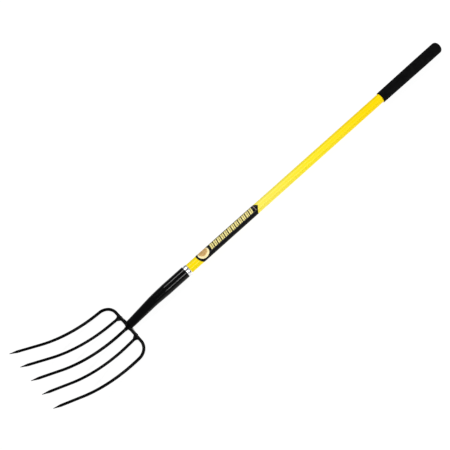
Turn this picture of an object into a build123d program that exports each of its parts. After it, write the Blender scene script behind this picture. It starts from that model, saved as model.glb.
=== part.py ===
import os
from math import asin, atan2, cos, degrees, hypot, radians, sin, tan

from build123d import *

os.makedirs("parts", exist_ok=True)

# Driving dimensions, in millimetres and degrees.
# Handle: a fibreglass tube of 48 inches by 1 1/4 inch.
handle_length = 1219.0
handle_r = 15.9
handle_wall = 3.2
insert_depth = 124.0
core_length = 220.0
plug_length = 40.0

# Heights above the ground, and places along X.
axis_height = 25.0
crossbar_drop = 18.0
nose_drop = 11.5
mouth_to_crossbar = 246.0

# Tines: round bar that thins from root to point.
bar_root_r = 5.1
inner_root_r = 4.8
bar_mid_r = 4.4
tip_r = 0.9
point_length = 28.0
tip_pitch = 60.4
fan = 2.49
flat_run = 41.0
dig_r = 297.0
dig_angle = 41.9
straight_run = 111.7
shoulder_r = 41.0
root_joint_y = 53.0
root_kink = 30.0
root_kink_r = 20.0
kink_lead = 10.0

# Socket: a tapered tube whose neck steps down to an oval nose.
mouth_r = 19.2
mouth_run = 85.0
cavity_r = 15.6
neck_bend_r = 160.0
nose_width_r = 15.2
nose_height_r = 10.4
nose_wall = 2.8
nose_gap = 8.0
shank_length = 42.0

# Boss that carries the crossbar and the centre tine.
boss_r = 9.5
boss_front = 12.0
boss_front_r = 5.6
tang_r = 3.4
tang_length = 5.5

# Gussets, welds and rivets.
gusset_thickness = 4.0
gusset_reach = 44.0
gusset_inner = 5.0
gusset_outer = 1.4
web_thickness = 6.4
web_on_bar = 23.0
web_on_root = 20.0
bead_r = 1.4
bead_seat = 0.3
rivet_r = 3.0
rivet_head_r = 5.0
rivet_head = 2.4
rivet_stations = {"rivet_front": 28.0, "rivet_rear": 68.0}

# Collar, label and grip.
collar_length = 14.5
collar_r = 19.0
collar_end_r = 17.4
collar_taper = 6.0
notch_count = 8
notch_length = 7.0
notch_width = 3.0
notch_turn = 15.0
label_start = 52.5
label_length = 256.5
label_thickness = 0.35
label_nose_rise = 20.0
label_nose_pull = 14.0
label_nose_turn = -5.3
label_edge_angle = 118.0
label_roof = 15.5
label_turn = 8.0
grip_length = 260.0
grip_start_r = 18.4
grip_r = 19.6
grip_taper = 180.0
grip_end_wall = 4.0
grip_dome = 13.0
grip_lip = 1.2

# Whole length, with the origin on the ground under its middle.
turn = radians(dig_angle)
fan_slope = tan(radians(fan))
tine_reach = flat_run + dig_r * sin(turn) + straight_run * cos(turn)
grip_end_from_mouth = handle_length - insert_depth + grip_end_wall
mouth_x = (mouth_to_crossbar + tine_reach - grip_end_from_mouth) / 2
crossbar_x = mouth_x - mouth_to_crossbar
crossbar_z = axis_height - crossbar_drop
nose_x = crossbar_x + nose_gap
nose_z = axis_height - nose_drop
handle_x = mouth_x - insert_depth
handle_end_x = handle_x + handle_length
grip_end_x = handle_end_x + grip_end_wall
grip_x = grip_end_x - grip_length
bore_r = handle_r - handle_wall

crossbar_plane = Plane.XY.offset(crossbar_z)
handle_axis = Axis((0, 0, axis_height), (1, 0, 0))


def across(x, z=axis_height):
    """Section plane at x: its normal points to the grip and its own x axis lies along Y."""
    return Plane(origin=(x, 0, z), x_dir=(0, 1, 0), z_dir=(1, 0, 0))


def rod(x, length, outer, inner=0.0):
    """Round rod or tube on the handle's axis, from x towards the grip."""
    with BuildPart() as made:
        with BuildSketch(across(x)):
            Circle(outer)
            if inner:
                Circle(inner, mode=Mode.SUBTRACT)
        extrude(amount=length)
    return made.part


def bar(path, start_r, end_r):
    """Round bar along a wire, its radius changing evenly from end to end."""
    with BuildPart() as made:
        with BuildSketch(Plane(origin=path @ 0, z_dir=path % 0)):
            Circle(start_r)
        with BuildSketch(Plane(origin=path @ 1, z_dir=path % 1)):
            Circle(end_r)
        sweep(path=path, multisection=True)
    return made.part


def tine(root, side, root_r):
    """Tine from its root: the rest of the flat run, the dig bend, a straight run and the point.

    side is 1 for a tine that fans towards +Y, 0 for the centre one and -1 towards -Y.
    """
    heading = radians(fan) * side
    face = Plane(origin=root, x_dir=(-cos(heading), sin(heading), 0), z_dir=(sin(heading), cos(heading), 0))
    flat = flat_run - (crossbar_x - root[0]) / cos(heading)
    bend = (flat + dig_r * sin(turn), dig_r * (1 - cos(turn)))
    rise = straight_run - point_length
    with BuildLine(face) as centre:
        Line((0, 0), (flat, 0))
        CenterArc((flat, dig_r), dig_r, -90, dig_angle)
        Line(bend, (bend[0] + rise * cos(turn), bend[1] + rise * sin(turn)))
    path = centre.wire()
    point = Plane(origin=path @ 1, z_dir=path % 1)
    with BuildPart() as made:
        add(bar(path, root_r, bar_mid_r))
        with BuildSketch(point):
            Circle(bar_mid_r)
        with BuildSketch(point.offset(point_length)):
            Circle(tip_r)
        loft()
        fillet(made.faces().sort_by(Axis.Z)[-1].edges(), tip_r * 0.7)
    return made.part


def inner_line_y(x):
    """Distance from the middle plane to an inner tine's axis, where it runs straight in plan."""
    return tip_pitch - fan_slope * (x - crossbar_x + tine_reach)


# Bow: outer tine, shoulder, crossbar, shoulder, outer tine, bent from one bar.
shoulder_turn = 90 - fan
shoulder_x = crossbar_x - shoulder_r * (1 - sin(radians(fan)))
shoulder_y = inner_line_y(shoulder_x) + tip_pitch
crossbar_half = shoulder_y - shoulder_r * cos(radians(fan))
with BuildLine(crossbar_plane) as bow_line:
    CenterArc((crossbar_x - shoulder_r, crossbar_half), shoulder_r, shoulder_turn, -shoulder_turn)
    Line((crossbar_x, crossbar_half), (crossbar_x, -crossbar_half))
    CenterArc((crossbar_x - shoulder_r, -crossbar_half), shoulder_r, 0, -shoulder_turn)
with BuildPart() as outer_bow:
    add(bar(bow_line.wire(), bar_root_r, bar_root_r))
    for side in (1, -1):
        add(tine((shoulder_x, side * shoulder_y, crossbar_z), side, bar_root_r))
outer_bow.part.label = "outer_bow"

# Inner tines: the root turns outwards and meets the crossbar beside the shoulder.
joint_run = (root_joint_y - inner_line_y(crossbar_x)) / (tan(radians(root_kink)) + fan_slope)
kink_x = crossbar_x - joint_run
lead_x = kink_x - kink_lead


def inner_tine(side):
    """Inner tine with its kinked root, cut to sit on the crossbar."""
    lead = (lead_x, side * inner_line_y(lead_x))
    kink = (kink_x, side * inner_line_y(kink_x))
    with BuildLine(crossbar_plane) as root_line:
        FilletPolyline((crossbar_x, side * root_joint_y), kink, lead, radius=root_kink_r)
    with BuildPart() as made:
        add(bar(root_line.wire(), inner_root_r, inner_root_r))
        add(tine((*lead, crossbar_z), side, inner_root_r))
        add(outer_bow.part, mode=Mode.SUBTRACT)
    return made.part


with BuildPart() as inner_tine_right:
    add(inner_tine(1))
inner_tine_right.part.label = "inner_tine_right"

with BuildPart() as inner_tine_left:
    add(inner_tine(-1))
inner_tine_left.part.label = "inner_tine_left"

# Socket: a cylinder at the mouth, then a neck that tapers and steps down to the nose.
neck_run = handle_x - nose_x
neck_turn = asin(2 * neck_bend_r / hypot(neck_run, 2 * neck_bend_r - nose_drop))
neck_turn -= atan2(2 * neck_bend_r - nose_drop, neck_run)
bend_run = neck_bend_r * sin(neck_turn)
bend_drop = neck_bend_r * (1 - cos(neck_turn))
with BuildLine(Plane.XZ) as neck_line:
    Line((mouth_x - mouth_run, axis_height), (handle_x, axis_height))
    CenterArc((handle_x, axis_height - neck_bend_r), neck_bend_r, 90, degrees(neck_turn))
    Line((handle_x - bend_run, axis_height - bend_drop), (nose_x + bend_run, nose_z + bend_drop))
    CenterArc((nose_x, nose_z + neck_bend_r), neck_bend_r, degrees(neck_turn) - 90, -degrees(neck_turn))
neck_path = neck_line.wire()


def neck(start_r, width_r, height_r):
    """Tapered neck: a circle where the mouth's cylinder ends, an ellipse at the nose."""
    with BuildPart() as made:
        with BuildSketch(Plane(origin=neck_path @ 0, x_dir=(0, 1, 0), z_dir=neck_path % 0)):
            Circle(start_r)
        with BuildSketch(Plane(origin=neck_path @ 1, x_dir=(0, 1, 0), z_dir=neck_path % 1)):
            Ellipse(width_r, height_r)
        sweep(path=neck_path, multisection=True)
    return made.part


cavity = neck(cavity_r, nose_width_r - nose_wall, nose_height_r - nose_wall)


def rivet(station):
    """Rivet across the socket, its countersunk heads dressed flush with the tube."""
    x = mouth_x - station
    with BuildPart() as made:
        with Locations(Location((x, 0, axis_height), (90, 0, 0))):
            Cylinder(rivet_r, 2 * mouth_r + 2)
        for side in (1, -1):
            with Locations(Location((x, side * (mouth_r - rivet_head / 2), axis_height), (-90 * side, 0, 0))):
                Cone(rivet_r, rivet_head_r, rivet_head)
        add(rod(x - mouth_r, 2 * mouth_r, mouth_r), mode=Mode.INTERSECT)
    return made.part


with BuildPart() as rivet_front:
    add(rivet(rivet_stations["rivet_front"]))
rivet_front.part.label = "rivet_front"

with BuildPart() as rivet_rear:
    add(rivet(rivet_stations["rivet_rear"]))
rivet_rear.part.label = "rivet_rear"

with BuildPart() as socket:
    add(rod(mouth_x - mouth_run, mouth_run, mouth_r))
    add(neck(mouth_r, nose_width_r, nose_height_r))
    add(cavity, mode=Mode.SUBTRACT)
    add(rod(handle_x, insert_depth, handle_r), mode=Mode.SUBTRACT)
    add(rivet_front.part, mode=Mode.SUBTRACT)
    add(rivet_rear.part, mode=Mode.SUBTRACT)
socket.part.label = "socket"

# Boss: its shank fills the nose, the crossbar passes through it, and it narrows to the centre tine.
with BuildPart() as neck_boss:
    add(cavity)
    split(bisect_by=Plane.YZ.offset(nose_x + shank_length), keep=Keep.BOTTOM)
    with BuildSketch(across(nose_x, nose_z)):
        Ellipse(nose_width_r, nose_height_r)
    with BuildSketch(across(crossbar_x, boss_r)):
        Circle(boss_r)
    with BuildSketch(across(crossbar_x - boss_front, crossbar_z)):
        Circle(boss_front_r)
    loft()
    with BuildSketch(across(crossbar_x - boss_front, crossbar_z)):
        Circle(tang_r)
    extrude(amount=tang_length, mode=Mode.SUBTRACT)
    add(outer_bow.part, mode=Mode.SUBTRACT)
neck_boss.part.label = "neck_boss"

# Centre tine: it stands in the boss by a short tang.
with BuildPart() as centre_tine:
    add(tine((crossbar_x - boss_front, 0, crossbar_z), 0, bar_root_r))
    with BuildSketch(across(crossbar_x - boss_front, crossbar_z)):
        Circle(tang_r)
    extrude(amount=tang_length)
centre_tine.part.label = "centre_tine"

# Weld beads: a ring where the crossbar enters the boss on each side, and one round the centre tine.
with BuildPart() as boss_welds:
    with Locations((crossbar_x, boss_r, crossbar_z), (crossbar_x, -boss_r, crossbar_z)):
        Torus(bar_root_r + bead_seat, bead_r, rotation=(90, 0, 0))
    add(outer_bow.part, mode=Mode.SUBTRACT)
    add(neck_boss.part, mode=Mode.SUBTRACT)
boss_welds.part.label = "boss_welds"

with BuildPart() as centre_tine_weld:
    with Locations((crossbar_x - boss_front, 0, crossbar_z)):
        Torus(bar_root_r + bead_seat, bead_r, rotation=(0, 90, 0))
    add(centre_tine.part, mode=Mode.SUBTRACT)
    add(neck_boss.part, mode=Mode.SUBTRACT)
centre_tine_weld.part.label = "centre_tine_weld"


def weld_web(side):
    """Weld metal that fills the crotch between the crossbar and an inner tine's root."""
    kink_turn = radians(root_kink)
    on_root = (crossbar_x - web_on_root * cos(kink_turn), side * (root_joint_y - web_on_root * sin(kink_turn)))
    on_bar = (crossbar_x, side * (root_joint_y - web_on_bar))
    with BuildPart() as made:
        with BuildSketch(crossbar_plane.offset(-web_thickness / 2)):
            with BuildLine():
                Polyline(on_bar, (crossbar_x, side * root_joint_y), on_root)
                Line(on_root, on_bar)
            make_face()
        extrude(amount=web_thickness)
        add(outer_bow.part, mode=Mode.SUBTRACT)
        add(inner_tine(side), mode=Mode.SUBTRACT)
    return made.part


with BuildPart() as weld_inner_right:
    add(weld_web(1))
weld_inner_right.part.label = "weld_inner_right"

with BuildPart() as weld_inner_left:
    add(weld_web(-1))
weld_inner_left.part.label = "weld_inner_left"


def gusset(side):
    """Thin web between the crossbar's grip side and the nose, narrowing away from the boss."""
    back = crossbar_x + bar_root_r
    with BuildPart() as made:
        with BuildSketch(crossbar_plane.offset(-gusset_thickness / 2)):
            with BuildLine():
                Polyline(
                    (crossbar_x, side * bar_root_r),
                    (back + gusset_inner, side * bar_root_r),
                    (back + gusset_outer, side * gusset_reach),
                    (crossbar_x, side * gusset_reach),
                    close=True,
                )
            make_face()
        extrude(amount=gusset_thickness)
        for neighbour in (outer_bow, neck_boss, socket, boss_welds):
            add(neighbour.part, mode=Mode.SUBTRACT)
    return made.part


with BuildPart() as gusset_right:
    add(gusset(1))
gusset_right.part.label = "gusset_right"

with BuildPart() as gusset_left:
    add(gusset(-1))
gusset_left.part.label = "gusset_left"

# Handle: a tube with a core where the socket grips it and a plug in its far end.
with BuildPart() as handle_tube:
    add(rod(handle_x, handle_length, handle_r, bore_r))
    add(rivet_front.part, mode=Mode.SUBTRACT)
    add(rivet_rear.part, mode=Mode.SUBTRACT)
handle_tube.part.label = "handle_tube"

with BuildPart() as core_dowel:
    add(rod(handle_x, core_length, bore_r))
    chamfer(core_dowel.faces().sort_by(Axis.X)[-1].edges(), handle_wall / 2)
    add(rivet_front.part, mode=Mode.SUBTRACT)
    add(rivet_rear.part, mode=Mode.SUBTRACT)
core_dowel.part.label = "core_dowel"

with BuildPart() as end_plug:
    add(rod(handle_end_x - plug_length, plug_length, bore_r))
    chamfer(end_plug.faces().sort_by(Axis.X)[0].edges(), handle_wall / 2)
end_plug.part.label = "end_plug"

# Collar: a bright ferrule over the socket's mouth, notched so that its edge could be crimped in.
collar_end_x = mouth_x + collar_length
with BuildPart() as crimp_collar:
    with BuildSketch(Plane.XZ):
        with BuildLine():
            Polyline(
                (mouth_x, axis_height + handle_r),
                (mouth_x, axis_height + collar_r),
                (collar_end_x - collar_taper, axis_height + collar_r),
                (collar_end_x, axis_height + collar_end_r),
                (collar_end_x, axis_height + handle_r),
                close=True,
            )
        make_face()
    revolve(axis=handle_axis)
    with BuildSketch(across(collar_end_x)):
        with PolarLocations(collar_r, notch_count, start_angle=notch_turn):
            Rectangle(3 * (collar_r - handle_r), notch_width)
    extrude(amount=-notch_length, mode=Mode.SUBTRACT)
crimp_collar.part.label = "crimp_collar"

# Label: a sheet round the front of the tube, with a rounded lower end and a roof-shaped upper one.
label_x = mouth_x + label_start
label_end_x = label_x + label_length
label_half = handle_r + 1
label_edge = handle_r * cos(radians(label_edge_angle))
tilt = radians(label_turn)
label_middle = (0, -sin(tilt), cos(tilt))
label_side = (0, -cos(tilt), -sin(tilt))
nose_tilt = radians(label_nose_turn)
nose_side = (0, -cos(nose_tilt), -sin(nose_tilt))
with BuildPart() as label_sleeve:
    add(rod(label_x, label_length, handle_r + label_thickness, handle_r))
    with BuildSketch(Plane(origin=(0, 0, axis_height), x_dir=(1, 0, 0), z_dir=label_side)):
        with BuildLine():
            Polyline(
                (label_x, label_edge),
                (label_end_x, label_edge),
                (label_end_x, label_half),
                (label_x, label_half),
                close=True,
            )
        make_face()
    extrude(amount=2 * handle_r, both=True, mode=Mode.INTERSECT)
    with BuildSketch(Plane(origin=(0, 0, axis_height), x_dir=(1, 0, 0), z_dir=nose_side)):
        with BuildLine():
            Bezier((label_x, label_half), (label_x, label_nose_pull), (label_x + label_nose_rise, -label_half))
            Polyline(
                (label_x + label_nose_rise, -label_half),
                (label_end_x, -label_half),
                (label_end_x, label_half),
                (label_x, label_half),
            )
        make_face()
    extrude(amount=2 * handle_r, both=True, mode=Mode.INTERSECT)
    with BuildSketch(Plane(origin=(0, 0, axis_height), x_dir=(1, 0, 0), z_dir=label_middle)):
        with BuildLine():
            Polyline(
                (label_x, -label_half),
                (label_end_x - label_roof, -label_half),
                (label_end_x, 0),
                (label_end_x - label_roof, label_half),
                (label_x, label_half),
                close=True,
            )
        make_face()
    extrude(amount=2 * handle_r, both=True, mode=Mode.INTERSECT)
label_sleeve.part.label = "label_sleeve"

# Grip: a rubber sleeve that widens to a cylinder and ends in a closed dome.
with BuildPart() as grip_sleeve:
    with BuildSketch(Plane.XZ):
        with BuildLine():
            Polyline(
                (handle_end_x, axis_height),
                (handle_end_x, axis_height + handle_r),
                (grip_x, axis_height + handle_r),
                (grip_x, axis_height + grip_start_r),
                (grip_x + grip_taper, axis_height + grip_r),
                (grip_end_x, axis_height + grip_r),
                (grip_end_x, axis_height),
                close=True,
            )
        make_face()
    revolve(axis=handle_axis)
    fillet(grip_sleeve.faces().sort_by(Axis.X)[-1].edges(), grip_dome)
    fillet(grip_sleeve.faces().sort_by(Axis.X)[0].edges().sort_by(SortBy.RADIUS)[-1], grip_lip)
grip_sleeve.part.label = "grip_sleeve"

pieces = (
    outer_bow,
    inner_tine_left,
    inner_tine_right,
    centre_tine,
    neck_boss,
    gusset_left,
    gusset_right,
    weld_inner_left,
    weld_inner_right,
    boss_welds,
    centre_tine_weld,
    socket,
    crimp_collar,
    handle_tube,
    core_dowel,
    end_plug,
    rivet_front,
    rivet_rear,
    label_sleeve,
    grip_sleeve,
)
for piece in pieces:
    export_step(piece.part, f"parts/{piece.part.label}.step")
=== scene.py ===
"""Looks of the digging fork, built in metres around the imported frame. Runs in Blender 4.5."""

import math

import bmesh
import bpy
import numpy as np
from mathutils import Matrix, Quaternion, Vector, noise


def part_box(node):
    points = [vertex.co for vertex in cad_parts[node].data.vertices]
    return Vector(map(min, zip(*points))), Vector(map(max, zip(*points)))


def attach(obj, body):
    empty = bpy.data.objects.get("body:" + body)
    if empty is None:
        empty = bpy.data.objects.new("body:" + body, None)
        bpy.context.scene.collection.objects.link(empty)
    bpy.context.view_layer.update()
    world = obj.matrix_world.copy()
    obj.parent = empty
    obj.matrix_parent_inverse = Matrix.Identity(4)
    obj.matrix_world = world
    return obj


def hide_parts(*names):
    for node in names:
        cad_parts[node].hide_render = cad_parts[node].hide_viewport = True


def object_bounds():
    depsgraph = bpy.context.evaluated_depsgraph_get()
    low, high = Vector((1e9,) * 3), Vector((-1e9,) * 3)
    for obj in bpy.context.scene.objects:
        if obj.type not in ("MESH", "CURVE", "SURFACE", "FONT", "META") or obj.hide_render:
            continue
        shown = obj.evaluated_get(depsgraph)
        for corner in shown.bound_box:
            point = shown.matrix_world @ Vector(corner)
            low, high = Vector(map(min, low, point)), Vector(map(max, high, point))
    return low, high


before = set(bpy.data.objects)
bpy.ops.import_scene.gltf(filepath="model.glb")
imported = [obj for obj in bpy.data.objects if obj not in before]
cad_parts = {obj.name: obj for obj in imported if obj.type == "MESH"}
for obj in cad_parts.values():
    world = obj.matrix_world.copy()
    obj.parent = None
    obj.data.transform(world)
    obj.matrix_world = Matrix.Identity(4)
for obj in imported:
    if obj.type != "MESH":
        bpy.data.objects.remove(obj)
cad_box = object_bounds()

MM = 0.001
TAU = 2 * math.pi

# Driving dimensions. Places along the tool come from the frame.
BAR_ROOT_R = 5.1 * MM
INNER_ROOT_R = 4.8 * MM
BAR_MID_R = 4.4 * MM
TIP_R = 0.9 * MM
TIP_ANGLES = np.radians([30, 55, 75])
POINT_LENGTH = 28 * MM
TIP_PITCH = 60.4 * MM
FAN = math.radians(2.49)
FLAT_RUN = 41 * MM
DIG_R = 297 * MM
DIG_ANGLE = math.radians(41.9)
STRAIGHT_RUN = 111.7 * MM
SHOULDER_R = 41 * MM
ROOT_JOINT_Y = 53 * MM
ROOT_KINK = math.radians(30)
ROOT_KINK_R = 20 * MM
KINK_LEAD = 10 * MM
MOUTH_R = 19.2 * MM
MOUTH_RUN = 85 * MM
NECK_BEND_R = 160 * MM
NOSE_WIDTH_R = 15.2 * MM
NOSE_HEIGHT_R = 10.4 * MM
NOSE_DROP = 11.5 * MM
NOSE_WALL = 2.8 * MM
SOCKET_SHEET = 2.2 * MM
SEAM_DEPTH = 0.9 * MM
BOSS_R = 9.5 * MM
BOSS_FRONT = 12 * MM
BOSS_FRONT_R = 5.6 * MM
BOSS_ROUND = 1.2 * MM
SHANK_LENGTH = 42 * MM
SHANK_RISE = 0.35
BEAD_R = 1.4 * MM
BEAD_GAP = 0.3 * MM
GUSSET_HALF = 2 * MM
GUSSET_REACH = 44 * MM
GUSSET_INNER = 5 * MM
GUSSET_OUTER = 1.4 * MM
WEB_ON_BAR = 23 * MM
WEB_ON_ROOT = 20 * MM
WEB_STEPS = 16
WEB_REACH = 0.93
ROOT_BEADS = 30
WEB_VOXEL = 0.4 * MM
RIVET_HEAD_R = 5 * MM
RIVET_SHANK_R = 3 * MM
HANDLE_R = 15.9 * MM
BORE_R = 12.7 * MM
COLLAR_R = 19 * MM
COLLAR_END_R = 17.4 * MM
COLLAR_TAPER = 6 * MM
NOTCH_COUNT = 8
NOTCH_LENGTH = 7 * MM
NOTCH_WIDTH = 3 * MM
NOTCH_TURN = math.radians(15)
LABEL_LENGTH = 256.5 * MM
LABEL_THICKNESS = 0.35 * MM
LABEL_TURN = math.radians(8)
LABEL_EDGE_ANGLE = math.radians(118)
LABEL_NOSE_RISE = 20 * MM
LABEL_NOSE_PULL = 14 * MM
LABEL_NOSE_TURN = math.radians(-5.3)
LABEL_ROOF = 15.5 * MM
INK_DEPTH = 0.03 * MM
EMBLEM_X = 27.3 * MM
EMBLEM_S = -2.5 * MM
RING_R = 20.2 * MM
RING_SQUASH = 0.9
FIELD_R = 16.4 * MM
FIELD_SQUASH = 0.82
FIELD_SHIFT = -3.6 * MM
RAY_COUNT = 7
RAY_PITCH = 3.6 * MM
BARS_X = 56.5 * MM
BAR_CELLS = 12
BAR_PITCH = 14.9 * MM
BAR_SLANT = 0.2
BAR_LOW = -11.8 * MM
BAR_HIGH = 8 * MM
BAR_OFFSETS_AND_WIDTHS = ((0.0, 5.6 * MM), (7.2 * MM, 4.2 * MM))
LINE_X = 241.2 * MM
LINE_WIDTH = 1.7 * MM
LINE_LOW = -22 * MM
LINE_HIGH = 9 * MM
GRIP_START_R = 18.4 * MM
GRIP_R = 19.6 * MM
GRIP_TAPER = 180 * MM
GRIP_DOME = 13 * MM
GRIP_LIP = 1.2 * MM

# The photo's camera: azimuth, elevation and roll in degrees, and where it looks.
CAMERA_ANGLES = (-13.105, 59.480, -30.376)
CAMERA_TARGET = (-72.63 * MM, 31.31 * MM, 25.91 * MM)
CAMERA_DISTANCE = 3.8075
CAMERA_LENS = 96.4

# Two long soft lights over the handle, and the pale floor.
STRIP_DISTANCE = 3.0
STRIP_LENGTH = 1.2
STRIP_WIDTH = 0.6
STRIP_MIDDLE_X = 0.36
STRIP_POWER = 50
FLOOR_SIZE = 60
FLOOR_GAP = 0.5 * MM
FLOOR_GLOW = 0.93

# Places, read from the frame.
socket_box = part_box("socket")
bow_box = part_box("outer_bow")
tube_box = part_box("handle_tube")
grip_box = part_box("grip_sleeve")
collar_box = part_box("crimp_collar")
label_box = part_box("label_sleeve")
axis_z = (tube_box[0].z + tube_box[1].z) / 2
mouth_x = socket_box[1].x
nose_x = socket_box[0].x
nose_z = axis_z - NOSE_DROP
handle_x = tube_box[0].x
crossbar_x = bow_box[1].x - BAR_ROOT_R
crossbar_z = bow_box[0].z + BAR_ROOT_R
tine_reach = FLAT_RUN + DIG_R * math.sin(DIG_ANGLE) + STRAIGHT_RUN * math.cos(DIG_ANGLE)
fan_slope = math.tan(FAN)


# ---------------------------------------------------------------- mesh helpers


def make_object(name, verts, faces, material, slot, *nodes, sharp=35):
    """Mesh object that rides on the root body and stands for CAD nodes."""
    mesh = bpy.data.meshes.new(name)
    mesh.from_pydata([tuple(v) for v in verts], [], faces)
    mesh.validate()
    finish_mesh(mesh, sharp)
    piece = bpy.data.objects.new(name, mesh)
    bpy.context.scene.collection.objects.link(piece)
    mesh.materials.append(material)
    return settle(piece, slot, *nodes)


def finish_mesh(mesh, sharp):
    """Outward normals, smooth faces, and edges kept crisp above the sharp angle."""
    made = bmesh.new()
    made.from_mesh(mesh)
    bmesh.ops.remove_doubles(made, verts=made.verts, dist=1e-7)
    bmesh.ops.recalc_face_normals(made, faces=made.faces)
    made.to_mesh(mesh)
    made.free()
    mesh.shade_smooth()
    mesh.set_sharp_from_angle(angle=math.radians(sharp))


def settle(piece, slot, *nodes):
    """Puts a finished piece on the root body and hides the CAD nodes it stands for. The slot
    argument is not used.
    """
    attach(piece, "root")
    if nodes:
        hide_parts(*nodes)
    return piece


def skin(rings, closed=False):
    """Vertices and faces through rings of equal length. closed joins the last ring to the first."""
    rings = np.asarray(rings, float)
    count, around = rings.shape[:2]
    verts = list(rings.reshape(-1, 3))
    faces = []
    for i in range(count if closed else count - 1):
        a, b = i * around, (i + 1) % count * around
        for j in range(around):
            k = (j + 1) % around
            faces.append((a + j, a + k, b + k, b + j))
    if not closed:
        for ring, base, flip in ((rings[0], 0, True), (rings[-1], (count - 1) * around, False)):
            verts.append(ring.mean(0))
            for j in range(around):
                k = (j + 1) % around
                face = (base + j, base + k, len(verts) - 1)
                faces.append(face[::-1] if flip else face)
    return verts, faces


def append_skin(verts, faces, new_verts, new_faces):
    """Adds one form's vertices and faces to lists that hold others."""
    faces += [tuple(i + len(verts) for i in face) for face in new_faces]
    verts += list(new_verts)


def lathe_rings(profile, segments, reshape=None):
    """Rings round the handle's axis from (x, radius) points. reshape(x, angle, r) alters radii."""
    angles = np.arange(segments) * TAU / segments
    rings = []
    for x, r in profile:
        radii = np.array([reshape(x, a, r) for a in angles]) if reshape else np.full(segments, r)
        across, up = -radii * np.sin(angles), axis_z + radii * np.cos(angles)
        rings.append(np.stack([np.full(segments, x), across, up], -1))
    return rings


def steps(start, end, size):
    """Values from start to end about size apart, both ends included."""
    return np.linspace(start, end, max(2, int(round(abs(end - start) / size)) + 1))


def smooth_step(value, low, high):
    """0 below low, 1 above high, smooth between."""
    t = min(1.0, max(0.0, (value - low) / (high - low)))
    return t * t * (3 - 2 * t)


def round_corner(centre_x, centre_r, radius, start, end, count=7):
    """Profile points on an arc, angles in degrees from +X towards larger radius."""
    angles = np.radians(np.linspace(start, end, count))
    return [(centre_x + radius * math.cos(a), centre_r + radius * math.sin(a)) for a in angles]


def sweep_rings(centres, sides, ups, widths, heights, segments):
    """Elliptical rings, one at each centre, with its own side and up directions."""
    angles = np.arange(segments) * TAU / segments
    return [
        c + np.outer(np.cos(angles) * w, s) + np.outer(np.sin(angles) * h, u)
        for c, s, u, w, h in zip(centres, sides, ups, widths, heights)
    ]


def carried_frames(centres, first_side):
    """Side and up directions carried along a line with no twist."""
    tangents = np.gradient(centres, axis=0)
    tangents /= np.linalg.norm(tangents, axis=1)[:, None]
    side = np.array(first_side, float)
    sides, ups = [], []
    for t in tangents:
        side = side - t * (side @ t)
        side /= np.linalg.norm(side)
        sides.append(side)
        ups.append(np.cross(t, side))
    return np.array(sides), np.array(ups)


def forge(rings, centres, size, scale):
    """Slight hammer marks: each ring point moves to or from its centre by smooth noise."""
    for ring, centre in zip(rings, centres):
        for i, p in enumerate(ring):
            out = p - centre
            length = np.linalg.norm(out)
            if length > size:
                ring[i] = p + out / length * size * (noise.noise(Vector(p) * scale) - 0.5)
    return rings


# ------------------------------------------------------------------- materials


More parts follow.
